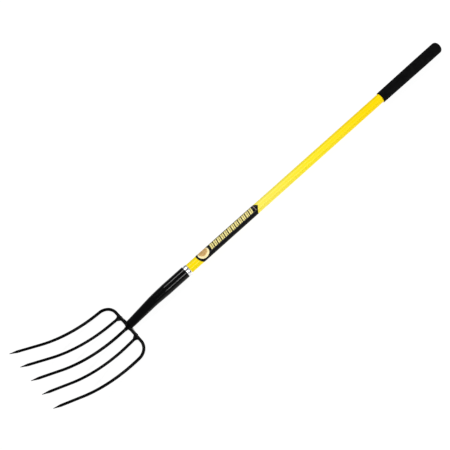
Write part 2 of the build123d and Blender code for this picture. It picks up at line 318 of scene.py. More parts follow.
class Finish:
    """A Principled material with short ways to add colour, roughness and bump by nodes."""

    def __init__(self, name, colour, roughness, **sockets):
        self.material = bpy.data.materials.new(name)
        self.material.use_nodes = True
        self.nodes = self.material.node_tree.nodes
        self.links = self.material.node_tree.links
        self.shader = self.nodes["Principled BSDF"]
        self.shader.inputs["Base Color"].default_value = (*colour, 1)
        self.shader.inputs["Roughness"].default_value = roughness
        for socket, value in sockets.items():
            self.shader.inputs[socket.replace("_", " ")].default_value = value
        self.place = self.nodes.new("ShaderNodeTexCoord").outputs["Object"]
        self.normal = None

    def noise(self, scale, stretch=(1, 1, 1), detail=3.0, rough=0.5):
        """Noise value, 0 to 1, with scale in cells per metre."""
        mapping = self.nodes.new("ShaderNodeMapping")
        mapping.inputs["Scale"].default_value = stretch
        self.links.new(self.place, mapping.inputs["Vector"])
        texture = self.nodes.new("ShaderNodeTexNoise")
        texture.inputs["Scale"].default_value = scale
        texture.inputs["Detail"].default_value = detail
        texture.inputs["Roughness"].default_value = rough
        self.links.new(mapping.outputs["Vector"], texture.inputs["Vector"])
        return texture.outputs["Fac"]

    def pebbles(self, scale):
        """Distance in a smooth Voronoi pattern, with scale in cells per metre."""
        texture = self.nodes.new("ShaderNodeTexVoronoi")
        texture.feature = "SMOOTH_F1"
        texture.inputs["Scale"].default_value = scale
        self.links.new(self.place, texture.inputs["Vector"])
        return texture.outputs["Distance"]

    def along_handle(self):
        """0 at the handle tube's lower end, 1 where the grip starts."""
        parts = self.nodes.new("ShaderNodeSeparateXYZ")
        self.links.new(self.place, parts.inputs["Vector"])
        return self.span(parts.outputs["X"], handle_x, grip_box[0].x)

    def product(self, first, second):
        """Two values multiplied."""
        node = self.nodes.new("ShaderNodeMath")
        node.operation = "MULTIPLY"
        self.links.new(first, node.inputs[0])
        self.links.new(second, node.inputs[1])
        return node.outputs[0]

    def attribute(self, name):
        """Value of a mesh attribute."""
        node = self.nodes.new("ShaderNodeAttribute")
        node.attribute_name = name
        return node.outputs["Fac"]

    def span(self, value, low, high, out_low=0.0, out_high=1.0):
        """Value remapped and clamped from low..high to out_low..out_high."""
        node = self.nodes.new("ShaderNodeMapRange")
        ranges = {"From Min": low, "From Max": high, "To Min": out_low, "To Max": out_high}
        for socket, number in ranges.items():
            node.inputs[socket].default_value = number
        self.links.new(value, node.inputs["Value"])
        return node.outputs["Result"]

    def ramp(self, value, *stops):
        """Colour ramp from (position, colour) stops."""
        node = self.nodes.new("ShaderNodeValToRGB")
        elements = node.color_ramp.elements
        while len(elements) < len(stops):
            elements.new(0.5)
        for element, (position, colour) in zip(elements, stops):
            element.position = position
            element.color = (*colour, 1)
        self.links.new(value, node.inputs["Fac"])
        return node.outputs["Color"]

    def mix(self, share, first, second):
        """Mix of two colours, each a socket or an RGB value."""
        node = self.nodes.new("ShaderNodeMix")
        node.data_type = "RGBA"
        self.links.new(share, node.inputs["Factor"])
        for socket, colour in ((node.inputs[6], first), (node.inputs[7], second)):
            if isinstance(colour, tuple):
                socket.default_value = (*colour, 1)
            else:
                self.links.new(colour, socket)
        return node.outputs[2]

    def drive(self, socket, value):
        """Feeds a node value into a socket of the shader."""
        self.links.new(value, self.shader.inputs[socket])

    def bump(self, height, distance):
        """Adds a bump layer. distance is the relief in metres."""
        node = self.nodes.new("ShaderNodeBump")
        node.inputs["Distance"].default_value = distance
        node.inputs["Strength"].default_value = 1.0
        self.links.new(height, node.inputs["Height"])
        if self.normal:
            self.links.new(self.normal, node.inputs["Normal"])
        self.normal = node.outputs["Normal"]
        self.links.new(self.normal, self.shader.inputs["Normal"])


def black_paint(name, roughness, orange_peel, specular):
    """Black paint over steel: orange peel, faint dust and a changing gloss."""
    f = Finish(name, (0.0008, 0.0008, 0.0009), roughness, Specular_IOR_Level=specular)
    dust = f.span(f.noise(140, detail=6, rough=0.65), 0.5, 0.78)
    f.drive("Base Color", f.mix(dust, (0.0005, 0.0005, 0.0006), (0.003, 0.0028, 0.0027)))
    f.drive("Roughness", f.span(f.noise(60, detail=5), 0.3, 0.7, roughness * 0.8, roughness * 1.25))
    f.bump(f.noise(420, detail=2), orange_peel)
    return f.material


def weld_paint():
    """The same paint over rougher weld metal, greyer where it is thin."""
    f = Finish("weld_steel", (0.003, 0.003, 0.003), 0.45, Specular_IOR_Level=0.12)
    thin = f.span(f.noise(500, detail=4, rough=0.6), 0.42, 0.7)
    f.drive("Base Color", f.mix(thin, (0.002, 0.002, 0.0022), (0.014, 0.0136, 0.013)))
    f.drive("Roughness", f.span(f.noise(260, detail=3), 0.3, 0.7, 0.34, 0.6))
    f.bump(f.noise(900, detail=4), 0.05 * MM)
    return f.material


PAINT_BLACK = (0.0012, 0.0012, 0.0013)


def steel_with_painted_highlight():
    """Black paint with painted highlights, grey to near white where a mesh attribute says, in place
    of light caught by the upper faces.
    """
    f = Finish("steel_painted_highlight", (0.002, 0.002, 0.002), 0.5, Specular_IOR_Level=0.06)
    highlight_share = f.attribute("highlight_share")
    blotch = f.span(f.noise(330, detail=5, rough=0.6), 0.25, 0.75, 0.82, 1.12)
    # Painted highlight: grey to pale metal colour stands in for light reflected off the gussets'
    # upper faces.
    highlight_colour = f.ramp(highlight_share, (0.0, PAINT_BLACK), (0.5, (0.07, 0.07, 0.068)), (1.0, (0.62, 0.62, 0.60)))
    f.drive("Base Color", f.mix(f.product(highlight_share, blotch), PAINT_BLACK, highlight_colour))
    f.drive("Roughness", f.span(f.noise(300, detail=4), 0.3, 0.7, 0.42, 0.62))
    f.bump(f.noise(700, detail=4), 0.04 * MM)
    return f.material


def bright_plate():
    """Bright plated steel with turning marks, and painted shade inside the crimp notches."""
    f = Finish("bright_steel", (0.86, 0.87, 0.88), 0.2, Metallic=1.0)
    smudge = f.noise(90, detail=5)
    plate = f.ramp(smudge, (0.3, (0.80, 0.81, 0.83)), (0.7, (0.92, 0.92, 0.92)))
    # Painted shade: dark grey inside the pressed notches stands in for the shadow they hold.
    f.drive("Base Color", f.mix(f.attribute("notch_shade"), plate, (0.10, 0.10, 0.105)))
    f.drive("Roughness", f.span(f.noise(40, stretch=(60, 1, 1)), 0.3, 0.7, 0.16, 0.34))
    f.bump(f.noise(30, stretch=(160, 1, 1)), 0.02 * MM)
    return f.material


def yellow_fibreglass():
    """Clear yellow gelcoat with fine lengthwise glass streaks, and a painted highlight that makes
    it paler past the label.
    """
    f = Finish("yellow_fibreglass", (0.89, 0.70, 0.0), 0.3, Specular_IOR_Level=0.09)
    # Painted highlight: this ramp along the handle turns paler past the label, standing in for a
    # broad sheen of light.
    tone = f.ramp(
        f.along_handle(),
        (0.17, (0.89, 0.69, 0.0)),
        (0.46, (0.89, 0.77, 0.10)),
        (0.66, (0.88, 0.73, 0.02)),
        (0.92, (0.89, 0.645, 0.0)),
    )
    streak = f.span(f.noise(260, stretch=(0.012, 1, 1), detail=5, rough=0.6), 0.45, 0.75, 0.0, 0.3)
    f.drive("Base Color", f.mix(streak, tone, (0.84, 0.60, 0.0)))
    f.drive("Roughness", f.span(f.noise(90, stretch=(0.1, 1, 1)), 0.3, 0.7, 0.22, 0.32))
    f.bump(f.noise(420, stretch=(0.01, 1, 1), detail=3), 0.004 * MM)
    return f.material


def label_film():
    """Black printed film with a faint screen texture and small scuffs."""
    f = Finish("label_film", (0.002, 0.002, 0.002), 0.34, Specular_IOR_Level=0.08)
    tone = f.ramp(
        f.noise(180, detail=4), (0.35, (0.0014, 0.0012, 0.0015)), (0.7, (0.004, 0.0036, 0.0042))
    )
    f.drive("Base Color", tone)
    f.drive("Roughness", f.span(f.noise(120, detail=6), 0.3, 0.7, 0.26, 0.42))
    f.bump(f.noise(1500, detail=2), 0.01 * MM)
    return f.material


def print_ink(name, dark, light):
    """Ink on the film: two tones in a fine halftone-like grain."""
    f = Finish(name, light, 0.38, Specular_IOR_Level=0.12)
    f.drive("Base Color", f.ramp(f.noise(170, detail=4, rough=0.7), (0.34, dark), (0.56, light)))
    f.drive("Roughness", f.span(f.noise(240), 0.3, 0.7, 0.32, 0.48))
    f.bump(f.noise(1600, detail=1), 0.008 * MM)
    return f.material


def grip_rubber():
    """Matte black rubber with a fine pebble skin and pale dust in places."""
    f = Finish("grip_rubber", (0.002, 0.002, 0.0022), 0.7, Specular_IOR_Level=0.05)
    dust = f.noise(55, detail=6, rough=0.7)
    tone = f.ramp(dust, (0.4, (0.0014, 0.0014, 0.0015)), (0.75, (0.0045, 0.0045, 0.0048)))
    f.drive("Base Color", tone)
    f.drive("Roughness", f.span(f.noise(130, detail=4), 0.3, 0.7, 0.6, 0.82))
    f.bump(f.pebbles(900), 0.06 * MM)
    f.bump(f.noise(2600, detail=2), 0.02 * MM)
    return f.material


def turned_wood():
    """Plain turned wood with long grain."""
    f = Finish("core_wood", (0.55, 0.36, 0.2), 0.6)
    grain = f.noise(120, stretch=(0.05, 1, 1), detail=6, rough=0.6)
    tone = f.ramp(
        grain, (0.3, (0.36, 0.21, 0.10)), (0.6, (0.58, 0.38, 0.21)), (0.8, (0.66, 0.47, 0.28))
    )
    f.drive("Base Color", tone)
    f.bump(grain, 0.12 * MM)
    return f.material


def moulded_plastic():
    """Dark moulded plastic with a fine spark-eroded grain."""
    f = Finish("plug_plastic", (0.05, 0.05, 0.05), 0.5)
    tone = f.ramp(
        f.noise(220, detail=4), (0.35, (0.035, 0.035, 0.037)), (0.7, (0.065, 0.065, 0.065))
    )
    f.drive("Base Color", tone)
    f.bump(f.noise(1200, detail=2), 0.03 * MM)
    return f.material


steel = black_paint("black_steel", 0.3, 0.01 * MM, 0.045)
socket_paint = black_paint("socket_steel", 0.15, 0.001 * MM, 0.14)
weld = weld_paint()
highlight_steel = steel_with_painted_highlight()
bright = bright_plate()
yellow = yellow_fibreglass()
film = label_film()
gold_ink = print_ink("label_gold", (0.54, 0.45, 0.12), (0.88, 0.77, 0.30))
pale_ink = print_ink("label_pale_gold", (0.74, 0.64, 0.33), (0.95, 0.84, 0.47))
tan_ink = print_ink("label_tan", (0.48, 0.29, 0.09), (0.64, 0.40, 0.16))
brown_ink = print_ink("label_brown", (0.36, 0.22, 0.06), (0.46, 0.30, 0.11))
grey_ink = print_ink("label_grey", (0.24, 0.18, 0.15), (0.36, 0.28, 0.24))
rubber = grip_rubber()
wood = turned_wood()
plastic = moulded_plastic()


# ------------------------------------------------------------------ fork head


def tine_line(root, side, root_r):
    """Centres and radii of a tine from its root to its tip."""
    heading = FAN * side
    flat = FLAT_RUN - (crossbar_x - root[0]) / math.cos(heading)
    bend = DIG_R * DIG_ANGLE
    whole = flat + bend + STRAIGHT_RUN
    point_start, point_end = whole - POINT_LENGTH, whole - TIP_R
    cap = point_end + TIP_R * np.sin(TIP_ANGLES)
    shank = steps(0, point_start, 4 * MM)[:-1]
    s = np.concatenate([shank, steps(point_start, point_end, 1.6 * MM), cap])
    turned = np.clip((s - flat) / DIG_R, 0, DIG_ANGLE)
    past = np.maximum(s - flat - bend, 0)
    along = np.minimum(s, flat) + DIG_R * np.sin(turned) + past * math.cos(DIG_ANGLE)
    rise = DIG_R * (1 - np.cos(turned)) + past * math.sin(DIG_ANGLE)
    x, y = root[0] - along * math.cos(heading), root[1] + along * math.sin(heading)
    centres = np.stack([x, y, root[2] + rise], -1)
    radii = np.interp(s, [0, point_start, point_end], [root_r, BAR_MID_R, TIP_R])
    radii[-len(TIP_ANGLES):] = TIP_R * np.cos(TIP_ANGLES)
    return centres, radii


def inner_line_y(x):
    """Distance from the middle plane to an inner tine's axis, where it runs straight in plan."""
    return TIP_PITCH - fan_slope * (x - crossbar_x + tine_reach)


def bar_piece(name, centres, radii, segments, *nodes):
    """Round forged bar along a line."""
    sides, ups = carried_frames(centres, (0, 1, 0))
    rings = forge(sweep_rings(centres, sides, ups, radii, radii, segments), centres, 0.09 * MM, 170)
    verts, faces = skin(rings)
    return make_object(name, verts, faces, steel, "black_steel", *nodes)


def build_bow():
    """Outer tines, shoulders and crossbar as one bent bar."""
    shoulder_x = crossbar_x - SHOULDER_R * (1 - math.sin(FAN))
    shoulder_y = inner_line_y(shoulder_x) + TIP_PITCH
    half = shoulder_y - SHOULDER_R * math.cos(FAN)
    angles = np.linspace(0, math.pi / 2 - FAN, 26)[1:-1]
    arc = np.stack(
        [
            crossbar_x - SHOULDER_R + SHOULDER_R * np.cos(angles),
            half + SHOULDER_R * np.sin(angles),
            np.full(len(angles), crossbar_z),
        ],
        -1,
    )
    bar_y = steps(0, half, 4 * MM)
    bar = np.stack([np.full(len(bar_y), crossbar_x), bar_y, np.full(len(bar_y), crossbar_z)], -1)
    tine, radii = tine_line((shoulder_x, shoulder_y, crossbar_z), 1, BAR_ROOT_R)
    centres = np.concatenate([bar, arc, tine])
    radii = np.concatenate([np.full(len(bar) + len(arc), BAR_ROOT_R), radii])
    centres = np.concatenate([centres[:0:-1] * (1, -1, 1), centres])
    radii = np.concatenate([radii[:0:-1], radii])
    bar_piece("outer_bow_bar", centres, radii, 32, "outer_bow")


def root_direction(side):
    """Direction of an inner tine's kinked root, away from the crossbar."""
    return np.array([-math.cos(ROOT_KINK), -side * math.sin(ROOT_KINK), 0.0])


def build_inner_tine(side, name, node):
    """Inner tine: root out of the crossbar, kink, then the tine."""
    joint_run = (ROOT_JOINT_Y - inner_line_y(crossbar_x)) / (math.tan(ROOT_KINK) + fan_slope)
    kink = np.array([crossbar_x - joint_run, 0, crossbar_z])
    kink[1] = side * inner_line_y(kink[0])
    start = np.array([crossbar_x, side * ROOT_JOINT_Y, crossbar_z])
    lead = np.array([kink[0] - KINK_LEAD, side * inner_line_y(kink[0] - KINK_LEAD), crossbar_z])
    into, out = kink - start, lead - kink
    into_length = np.linalg.norm(into)
    into, out = into / into_length, out / np.linalg.norm(out)
    turn = math.acos(float(into @ out))
    trim = ROOT_KINK_R * math.tan(turn / 2)
    bend_start = kink - into * trim
    inward = out - into * float(out @ into)
    inward /= np.linalg.norm(inward)
    centre = bend_start + inward * ROOT_KINK_R
    angles = np.linspace(0, turn, 14)
    arc = [centre + (into * math.sin(a) - inward * math.cos(a)) * ROOT_KINK_R for a in angles]
    straight = [start + into * d for d in steps(0, into_length - trim, 2 * MM)[:-1]]
    tine, radii = tine_line(tuple(lead), side, INNER_ROOT_R)
    centres = np.array(straight + arc + list(tine))
    radii = np.concatenate([np.full(len(centres) - len(tine), INNER_ROOT_R), radii])
    bar_piece(name, centres, radii, 28, node)


def build_centre_tine():
    """Centre tine, its root standing in the front of the boss."""
    tine, radii = tine_line((crossbar_x - BOSS_FRONT, 0, crossbar_z), 0, BAR_ROOT_R)
    tang = np.array([[crossbar_x - BOSS_FRONT + d, 0, crossbar_z] for d in (5 * MM, 2.5 * MM)])
    radii = np.concatenate([np.full(len(tang), BAR_ROOT_R * 0.7), radii])
    bar_piece("centre_tine_bar", np.concatenate([tang, tine]), radii, 32, "centre_tine")


def boss_section(x):
    """Half width, half height and centre height of the boss at x, through its three sections."""
    places = [nose_x - crossbar_x, 0, -BOSS_FRONT]
    widths = [NOSE_WIDTH_R, BOSS_R, BOSS_FRONT_R]
    heights = [NOSE_HEIGHT_R, BOSS_R, BOSS_FRONT_R]
    levels = [nose_z, BOSS_R, crossbar_z]
    fits = [np.polyfit(places, values, 2) for values in (widths, heights, levels)]
    return [float(np.polyval(fit, x - crossbar_x)) for fit in fits]


def build_boss():
    """Forged boss with a rounded front, and the shank that fills the socket's nose."""
    rings = []
    segments = 56
    angles = np.arange(segments) * TAU / segments

    def ring(x, width, height, z):
        across, up = width * np.cos(angles), z + height * np.sin(angles)
        rings.append(np.stack([np.full(segments, x), across, up], -1))

    for share in (1.0, 0.5, 0.02):
        z = axis_z - NOSE_DROP * (1 - SHANK_RISE * share)
        x = nose_x + SHANK_LENGTH * share
        ring(x, NOSE_WIDTH_R - NOSE_WALL, NOSE_HEIGHT_R - NOSE_WALL, z)
    ring(nose_x, NOSE_WIDTH_R - BOSS_ROUND, NOSE_HEIGHT_R - BOSS_ROUND, nose_z)
    front = crossbar_x - BOSS_FRONT
    for x in steps(nose_x - 0.5 * MM, front + BOSS_ROUND, 0.8 * MM):
        ring(x, *boss_section(x))
    width, height, z = boss_section(front)
    for a in np.radians([25, 50, 75]):
        shrink = BOSS_ROUND * (1 - math.cos(a))
        ring(front + BOSS_ROUND * (1 - math.sin(a)), width - shrink, height - shrink, z)
    centres = [r.mean(0) for r in rings]
    verts, faces = skin(forge(rings, centres, 0.16 * MM, 140))
    make_object("neck_boss_forging", verts, faces, steel, "black_steel", "neck_boss")


def bead_rings(centre, normal, ripples):
    """Ring-shaped weld bead round a bar: its section swells and shrinks in ripples."""
    normal = Vector(normal).normalized()
    across = normal.orthogonal().normalized()
    upright = normal.cross(across)
    section = [(math.cos(b), math.sin(b)) for b in np.arange(12) * TAU / 12]
    rings = []
    for i in range(ripples * 6):
        a = TAU * i / (ripples * 6)
        swell = BEAD_R * (0.86 + 0.14 * abs(math.sin(a * ripples / 2)))
        out = across * math.cos(a) + upright * math.sin(a)
        middle = Vector(centre) + out * (BAR_ROOT_R + BEAD_GAP)
        rings.append([tuple(middle + (out * c + normal * d) * swell) for c, d in section])
    return rings


def build_boss_beads():
    """Beads where the crossbar enters the boss, and round the centre tine."""
    verts, faces = [], []
    for side in (1, -1):
        rings = bead_rings((crossbar_x, side * BOSS_R, crossbar_z), (0, 1, 0), 18)
        append_skin(verts, faces, *skin(rings, closed=True))
    make_object("boss_weld_beads", verts, faces, weld, "weld_steel", "boss_welds", sharp=60)
    rings = bead_rings((crossbar_x - BOSS_FRONT, 0, crossbar_z), (1, 0, 0), 16)
    verts, faces = skin(rings, closed=True)
    make_object(
        "centre_tine_weld_bead", verts, faces, weld, "weld_steel", "centre_tine_weld", sharp=60
    )


def gusset_highlight_share(side, y):
    """Strength of the painted highlight at distance y from the middle. The two sides differ."""
    if side > 0:
        return smooth_step(y, 27 * MM, 32 * MM) * (1 - smooth_step(y, 39 * MM, 43 * MM))
    return 0.92 * smooth_step(y, 9 * MM, 13 * MM) * (1 - smooth_step(y, 34 * MM, 40 * MM))


def build_gusset(side, name, node):
    """Forged wedge between crossbar and boss: rounded free edge, and a fillet onto the bar."""
    back = crossbar_x + BAR_ROOT_R
    rings = []
    for y in steps(BAR_ROOT_R, GUSSET_REACH, 1.3 * MM):
        share = (y - BAR_ROOT_R) / (GUSSET_REACH - BAR_ROOT_R)
        edge = back + GUSSET_INNER + (GUSSET_OUTER - GUSSET_INNER) * share
        edge -= 1.1 * MM * math.sin(math.pi * share)
        half = GUSSET_HALF * (1 - 0.25 * share ** 2)
        outline = [(crossbar_x, half * 1.9), (crossbar_x + BAR_ROOT_R * 0.75, half * 1.8)]
        outline.append((crossbar_x + BAR_ROOT_R * 1.05, half * 1.18))
        outline.append((max(edge - half, back - half), half))
        for a in np.radians([65, 40, 15]):
            outline.append((edge - half + half * math.cos(a), half * math.sin(a)))
        outline += [(x, -z) for x, z in reversed(outline)]
        rings.append([(x, side * y, crossbar_z + z) for x, z in outline])
    rings = np.array(rings)
    verts, faces = skin(forge(list(rings), rings.mean(1), 0.12 * MM, 200))
    piece = make_object(name, verts, faces, highlight_steel, "black_steel", node, sharp=50)
    # Painted highlight on the handle-side face of each gusset, stronger on one side than the other.
    highlight_share = piece.data.attributes.new("highlight_share", "FLOAT", "POINT")
    for vertex in piece.data.vertices:
        x, y = vertex.co.xy
        behind = smooth_step(x, back - 1.5 * MM, back)
        highlight_share.data[vertex.index].value = gusset_highlight_share(side, abs(y)) * behind


def build_root_weld(side, name, node):
    """Web between crossbar and inner tine and a bead round the root, fused by a voxel remesh."""
    made = bmesh.new()

    def blob(place, radius):
        matrix = Matrix.Translation(Vector(place))
        bmesh.ops.create_icosphere(made, subdivisions=2, radius=radius, matrix=matrix)

    joint = np.array([crossbar_x, side * ROOT_JOINT_Y, crossbar_z])
    direction = root_direction(side)
    to_bar = np.array([0, -side, 0.0]) * WEB_ON_BAR * WEB_REACH
    to_root = direction * WEB_ON_ROOT * WEB_REACH
    for i in range(WEB_STEPS):
        for j in range(WEB_STEPS - i):
            u, v = i / WEB_STEPS, j / WEB_STEPS
            blob(joint + to_bar * u + to_root * v, (2.9 - 0.9 * (u + v) ** 2) * MM)
    outward = np.array([-math.sin(ROOT_KINK), side * math.cos(ROOT_KINK), 0.0])
    for i in range(ROOT_BEADS):
        a = TAU * i / ROOT_BEADS
        aside, up = INNER_ROOT_R * math.cos(a), INNER_ROOT_R * math.sin(a)
        lift = math.sqrt((BAR_ROOT_R + 0.2 * MM) ** 2 - up ** 2)
        run = (lift + aside * outward[0]) / math.cos(ROOT_KINK)
        place = joint + direction * run + outward * aside + np.array([0, 0, up])
        blob(place, (1.15 + 0.2 * (i % 2)) * MM)
    mesh = bpy.data.meshes.new(name)
    made.to_mesh(mesh)
    made.free()
    piece = bpy.data.objects.new(name, mesh)
    bpy.context.scene.collection.objects.link(piece)
    remesh = piece.modifiers.new("fuse", "REMESH")
    remesh.mode = "VOXEL"
    remesh.voxel_size = WEB_VOXEL
    smooth = piece.modifiers.new("smooth", "SMOOTH")
    smooth.iterations = 5
    smooth.factor = 0.5
    depsgraph = bpy.context.evaluated_depsgraph_get()
    fused = bpy.data.meshes.new_from_object(piece.evaluated_get(depsgraph))
    piece.modifiers.clear()
    piece.data = fused
    bpy.data.meshes.remove(mesh)
    finish_mesh(fused, 80)
    fused.materials.append(weld)
    settle(piece, "weld_steel", node)


# --------------------------------------------------------------------- socket


def neck_centres():
    """Centres, up directions and lengths along the socket's axis, from the mouth to the nose."""
    run = handle_x - nose_x
    turn = math.asin(2 * NECK_BEND_R / math.hypot(run, 2 * NECK_BEND_R - NOSE_DROP))
    turn -= math.atan2(2 * NECK_BEND_R - NOSE_DROP, run)
    points = [(x, axis_z, 0.0) for x in steps(mouth_x, handle_x, 3 * MM)]
    for a in np.linspace(0, turn, 12)[1:]:
        run_in, drop = NECK_BEND_R * math.sin(a), NECK_BEND_R * (1 - math.cos(a))
        points.append((handle_x - run_in, axis_z - drop, a))
    first = points[-1]
    last = (nose_x + NECK_BEND_R * math.sin(turn), nose_z + NECK_BEND_R * (1 - math.cos(turn)))
    for share in np.linspace(0, 1, 10)[1:]:
        x, z = (p + (q - p) * share for p, q in zip(first, last))
        points.append((x, z, turn))
    for a in np.linspace(turn, 0, 12)[1:]:
        run_in, drop = NECK_BEND_R * math.sin(a), NECK_BEND_R * (1 - math.cos(a))
        points.append((nose_x + run_in, nose_z + drop, a))
    points = np.array(points)
    centres = np.stack([points[:, 0], np.zeros(len(points)), points[:, 1]], -1)
    ups = np.stack([-np.sin(points[:, 2]), np.zeros(len(points)), np.cos(points[:, 2])], -1)
    walked = np.concatenate([[0], np.cumsum(np.linalg.norm(np.diff(centres, axis=0), axis=1))])
    return centres, ups, walked


def build_socket():
    """Rolled socket: cylinder, tapering neck and oval nose, with a closed seam underneath."""
    centres, ups, walked = neck_centres()
    sides = np.tile([0.0, 1.0, 0.0], (len(centres), 1))
    share = np.clip((walked - MOUTH_RUN) / (walked[-1] - MOUTH_RUN), 0, 1)
    widths = MOUTH_R + (NOSE_WIDTH_R - MOUTH_R) * share
    heights = MOUTH_R + (NOSE_HEIGHT_R - MOUTH_R) * share
    segments = 128
    outer = sweep_rings(centres, sides, ups, widths, heights, segments)
    seam_at = 3 * segments // 4
    for ring, centre, s in zip(outer, centres, share):
        for offset, depth in ((-1, 0.25), (0, 1.0), (1, 0.25)):
            i = (seam_at + offset) % segments
            inward = (centre - ring[i]) / np.linalg.norm(centre - ring[i])
            ring[i] += inward * SEAM_DEPTH * depth * (1 - 0.8 * s)
    outer = forge(outer, centres, 0.1 * MM, 45)
    widths, heights = widths - SOCKET_SHEET, heights - SOCKET_SHEET
    inner = sweep_rings(centres, sides, ups, widths, heights, segments)
    rim = [inner[0], outer[0] * 0.35 + inner[0] * 0.65, outer[0] * 0.8 + inner[0] * 0.2]
    outer[0] = outer[0] + np.array([-0.5 * MM, 0, 0])
    verts, faces = skin(rim + outer + inner[:0:-1], closed=True)
    make_object("socket_tube", verts, faces, socket_paint, "socket_steel", "socket", sharp=50)


def build_rivet(name, node):
    """Rivet: a shank across the socket and a low dressed head on each side."""
    low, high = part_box(node)
    x = (low.x + high.x) / 2
    segments = 48
    angles = np.arange(segments) * TAU / segments

    def ring(radius, lift, side):
        up = radius * np.sin(angles)
        reach = np.sqrt((MOUTH_R + lift) ** 2 - up ** 2)
        return np.stack([x + radius * np.cos(angles), side * reach, axis_z + up], -1)

    def head(side):
        rows = [ring(RIVET_SHANK_R, -2.4 * MM, side)]
        rows += [ring(RIVET_HEAD_R, lift, side) for lift in (-0.25 * MM, 0.06 * MM)]
        for share in (0.94, 0.8, 0.6, 0.4, 0.2, 0.05):
            rows.append(ring(RIVET_HEAD_R * share, (0.06 + 0.3 * (1 - share ** 3)) * MM, side))
        return rows

    verts, faces = skin(head(-1)[::-1] + head(1))
    make_object(name, verts, faces, socket_paint, "socket_steel", node)


# ------------------------------------------------------- collar, handle, grip


def notch_depth(x, angle):
    """1 inside a crimp notch of the collar and 0 outside it."""
    pitch = TAU / NOTCH_COUNT
    off = (angle - NOTCH_TURN + pitch / 2) % pitch - pitch / 2
    aside = abs(off) * COLLAR_R
    end = collar_box[1].x
    across = 1 - smooth_step(aside, NOTCH_WIDTH / 2 - 0.3 * MM, NOTCH_WIDTH / 2 + 0.3 * MM)
    return across * smooth_step(x, end - NOTCH_LENGTH - 0.4 * MM, end - NOTCH_LENGTH + 0.4 * MM)


def build_collar():
    """Plated collar: rolled lower edge, crimped upper edge with pressed notches."""
    start, end = collar_box[0].x, collar_box[1].x
    roll = 0.9 * MM
    profile = [(start + 0.2 * MM, HANDLE_R - 0.05 * MM), (start + 0.1 * MM, COLLAR_R - 1.6 * MM)]
    profile += round_corner(start + roll, COLLAR_R - roll, roll, 180, 90)
    taper_start = end - COLLAR_TAPER
    profile += [(x, COLLAR_R - 0.02 * MM) for x in steps(start + 1.6 * MM, taper_start, 0.5 * MM)]
    for x in steps(taper_start, end - 0.7 * MM, 0.4 * MM)[1:]:
        share = (x - taper_start) / COLLAR_TAPER
        profile.append((x, COLLAR_R + (COLLAR_END_R - COLLAR_R) * share ** 1.3))
    profile += round_corner(end - 0.6 * MM, COLLAR_END_R - 0.6 * MM, 0.6 * MM, 80, 0)
    profile += [(end, COLLAR_END_R - 1.0 * MM), (end - 0.2 * MM, HANDLE_R - 0.05 * MM)]

    def reshape(x, angle, r):
        floor = HANDLE_R + 0.35 * MM
        return r + (min(r, floor) - r) * notch_depth(x, angle)

    rings = lathe_rings(profile, 320, reshape)
    verts, faces = skin(rings, closed=True)
    piece = make_object(
        "crimp_collar_band", verts, faces, bright, "bright_steel", "crimp_collar", sharp=45
    )
    # Painted shade mask: 1 inside the pressed notches, where the collar's colour is darkened.
    notch_shade = piece.data.attributes.new("notch_shade", "FLOAT", "POINT")
    for vertex in piece.data.vertices:
        x, y, z = vertex.co
        angle = math.atan2(-y, z - axis_z) % TAU
        outside = smooth_step(math.hypot(y, z - axis_z), HANDLE_R - 0.1 * MM, HANDLE_R)
        notch_shade.data[vertex.index].value = notch_depth(x, angle) * outside


def build_handle():
    """Fibreglass tube with its bore, and softly broken end edges."""
    start, end = tube_box[0].x, tube_box[1].x
    edge = 0.6 * MM
    profile = [(start, BORE_R), (start, HANDLE_R - edge)]
    profile += round_corner(start + edge, HANDLE_R - edge, edge, 180, 90, 5)[1:]
    profile += [(x, HANDLE_R) for x in steps(start + 5 * MM, end - 5 * MM, 12 * MM)]
    profile += round_corner(end - edge, HANDLE_R - edge, edge, 90, 0, 5)
    profile += [(end, BORE_R)] + [(x, BORE_R) for x in steps(end, start, 30 * MM)[1:-1]]
    verts, faces = skin(lathe_rings(profile, 96), closed=True)
    make_object("handle_tube_yellow", verts, faces, yellow, "yellow_fibreglass", "handle_tube")


def build_grip():
    """Rubber sleeve: rounded lip, slight flare, a mould line on each side and a domed end."""
    start, end = grip_box[0].x, grip_box[1].x
    profile = [(start + 60 * MM, HANDLE_R), (start + 0.3 * MM, HANDLE_R)]
    profile += round_corner(start + GRIP_LIP, GRIP_START_R - GRIP_LIP, GRIP_LIP, 180, 95)
    for x in steps(start + 2 * MM, end - GRIP_DOME, 4 * MM)[:-1]:
        share = min(1.0, (x - start) / GRIP_TAPER)
        profile.append((x, GRIP_START_R + (GRIP_R - GRIP_START_R) * share))
    profile += round_corner(end - GRIP_DOME, GRIP_R - GRIP_DOME, GRIP_DOME, 90, 3, 22)
    profile += [(end, GRIP_R - GRIP_DOME - 0.5 * MM), (end, 3 * MM), (end, 0.8 * MM)]

    def reshape(x, angle, r):
        aside = min(abs(angle - math.pi / 2), abs(angle - 3 * math.pi / 2)) * GRIP_R
        line = 0.16 * MM * math.exp(-((aside / (0.9 * MM)) ** 2))
        return r - line if r > HANDLE_R + 0.2 * MM else r

    verts, faces = skin(lathe_rings(profile, 120, reshape))
    make_object("grip_sleeve_rubber", verts, faces, rubber, "grip_rubber", "grip_sleeve")


# ----------------------------------------------------------------------- label


def on_handle(x, s, lift):
    """Point on the handle at x and arc distance s from the label's middle, lifted outwards."""
    angle = LABEL_TURN + s / HANDLE_R
    r = HANDLE_R + lift
    return (x, -r * math.sin(angle), axis_z + r * math.cos(angle))


def build_label_sheet():
    """Thin closed sheet of film round the front of the handle."""
    columns, rows = 64, 40
    half = LABEL_EDGE_ANGLE * HANDLE_R
    grid = []
    for lift in (-0.02 * MM, LABEL_THICKNESS):
        for s in np.linspace(-half, half, columns):
            low, high = label_low(s), label_high(s)
            grid += [on_handle(low + (high - low) * t, s, lift) for t in np.linspace(0, 1, rows)]
    faces = closed_grid_faces(columns, rows)
    make_object("label_wrap", grid, faces, film, "label_film", "label_sleeve", sharp=40)


